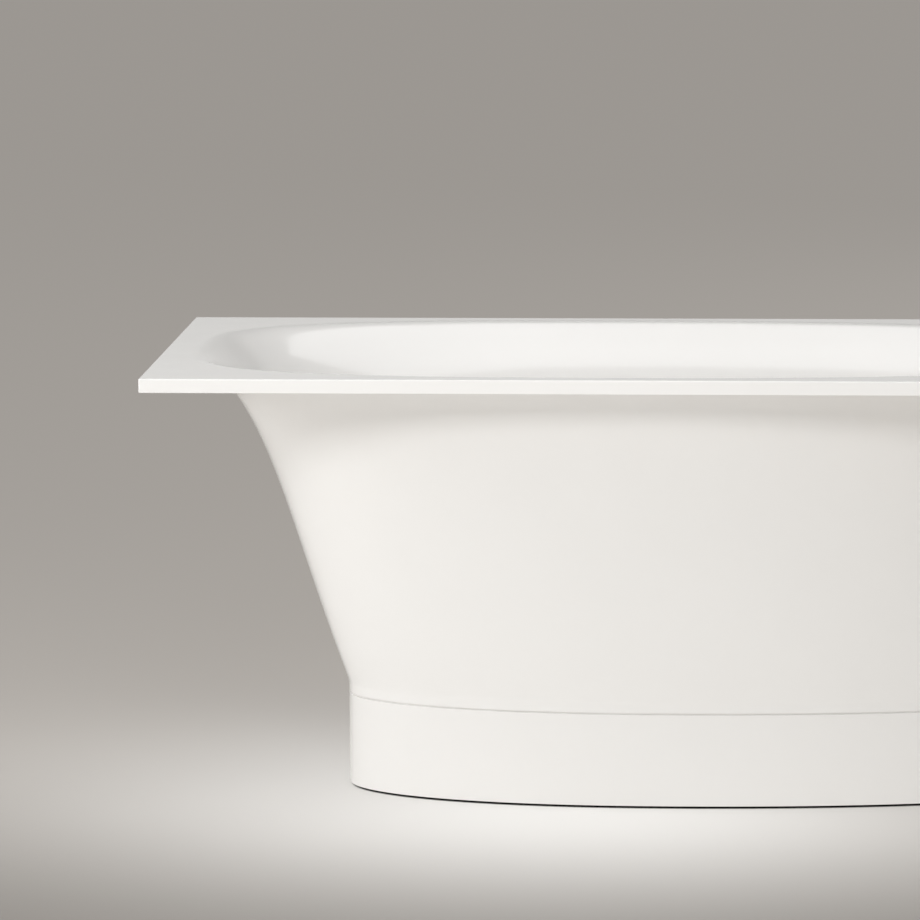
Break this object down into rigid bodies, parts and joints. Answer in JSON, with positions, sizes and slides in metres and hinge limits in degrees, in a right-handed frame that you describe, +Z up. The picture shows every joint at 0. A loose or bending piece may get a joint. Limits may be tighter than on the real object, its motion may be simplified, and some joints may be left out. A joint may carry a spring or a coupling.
{
  "type": "bathtub",
  "caption": "Free-standing bathtub with a thin square rim, an egg-shaped basin, a flared skirt on a recessed plinth, levelling feet and an overflow knob that lifts the plug.",
  "frame": {"origin": "on the floor, under the middle of the rim", "axes": "+X along the tub to the drain end, +Y to the back edge that can stand against a wall, +Z up"},
  "size_m": [1.7, 0.75, 0.658],
  "materials": {
    "acrylic": "smooth gloss, off-white",
    "board": "raw particle board",
    "seam_silicone": "satin, pale grey",
    "seal_rubber": "matt",
    "zinc_steel": "zinc plated",
    "pad_plastic": "fine grain",
    "chrome": "polished",
    "pipe_plastic": "moulded",
    "hose_plastic": "moulded",
    "cable_sheath": "smooth sheath",
    "brass": "turned"
  },
  "bodies": {
    "tub": {"tub_shell": "acrylic", "skirt": "acrylic", "plinth": "acrylic", "rim_board_head": "board", "rim_board_drain": "board", "base_board": "board", "seam_gasket": "seam_silicone", "waste_flange_seal": "seal_rubber", "waste_body_seal": "seal_rubber", "trap_inlet_seal": "seal_rubber", "trap_outlet_seal": "seal_rubber", "overflow_seal": "seal_rubber", "flange_bolts": "zinc_steel", "flange_nuts": "zinc_steel", "leg_rail_head": "zinc_steel", "leg_rail_drain": "zinc_steel", "leg_bracket_centre": "zinc_steel", "rail_screws": "zinc_steel", "leg_nuts": "zinc_steel", "leg_lock_nuts": "zinc_steel", "hose_clamps": "zinc_steel", "waste_flange": "chrome", "overflow_ring": "chrome", "waste_body": "pipe_plastic", "trap_bend": "pipe_plastic", "trap_inlet_nut": "pipe_plastic", "trap_outlet_nut": "pipe_plastic", "trap_outlet": "pipe_plastic", "overflow_elbow": "pipe_plastic", "overflow_hose": "hose_plastic", "pull_cable": "cable_sheath", "lever_pin": "brass"},
    "plug": {"plug_cap": "chrome", "plug_seal": "seal_rubber", "plug_stem": "zinc_steel"},
    "lever": {"lift_lever": "brass"},
    "knob": {"overflow_knob": "chrome", "knob_spindle": "brass"},
    "foot_head_front": {"pad_head_front": "pad_plastic", "stud_head_front": "zinc_steel"},
    "foot_head_back": {"pad_head_back": "pad_plastic", "stud_head_back": "zinc_steel"},
    "foot_drain_front": {"pad_drain_front": "pad_plastic", "stud_drain_front": "zinc_steel"},
    "foot_drain_back": {"pad_drain_back": "pad_plastic", "stud_drain_back": "zinc_steel"},
    "foot_centre": {"pad_centre": "pad_plastic", "stud_centre": "zinc_steel"}
  },
  "joints": [
    {"name": "knob_turn", "type": "hinge", "parent": "tub", "child": "knob", "pos_m": [0.64264, 0, 0.58], "axis": [-0.8332, 0, 0.5529], "range_deg": [0, 75]},
    {"name": "lever_turn", "type": "hinge", "parent": "tub", "child": "lever", "pos_m": [0.379, 0, 0.173], "axis": [0, 1, 0], "range_deg": [0, 30.7]},
    {"name": "plug_lift", "type": "slide", "parent": "tub", "child": "plug", "axis": [0, 0, 1], "range_m": [0, 0.009]},
    {"name": "level_head_front", "type": "slide", "parent": "tub", "child": "foot_head_front", "axis": [0, 0, -1], "range_m": [0, 0.02]},
    {"name": "level_head_back", "type": "slide", "parent": "tub", "child": "foot_head_back", "axis": [0, 0, -1], "range_m": [0, 0.02]},
    {"name": "level_drain_front", "type": "slide", "parent": "tub", "child": "foot_drain_front", "axis": [0, 0, -1], "range_m": [0, 0.02]},
    {"name": "level_drain_back", "type": "slide", "parent": "tub", "child": "foot_drain_back", "axis": [0, 0, -1], "range_m": [0, 0.02]},
    {"name": "level_centre", "type": "slide", "parent": "tub", "child": "foot_centre", "axis": [0, 0, -1], "range_m": [0, 0.02]}
  ],
  "couplings": [
    {"joint": "lever_turn", "follows": "knob_turn", "ratio": 0.4093},
    {"joint": "plug_lift", "follows": "knob_turn", "m_per_rad": 0.006875}
  ]
}
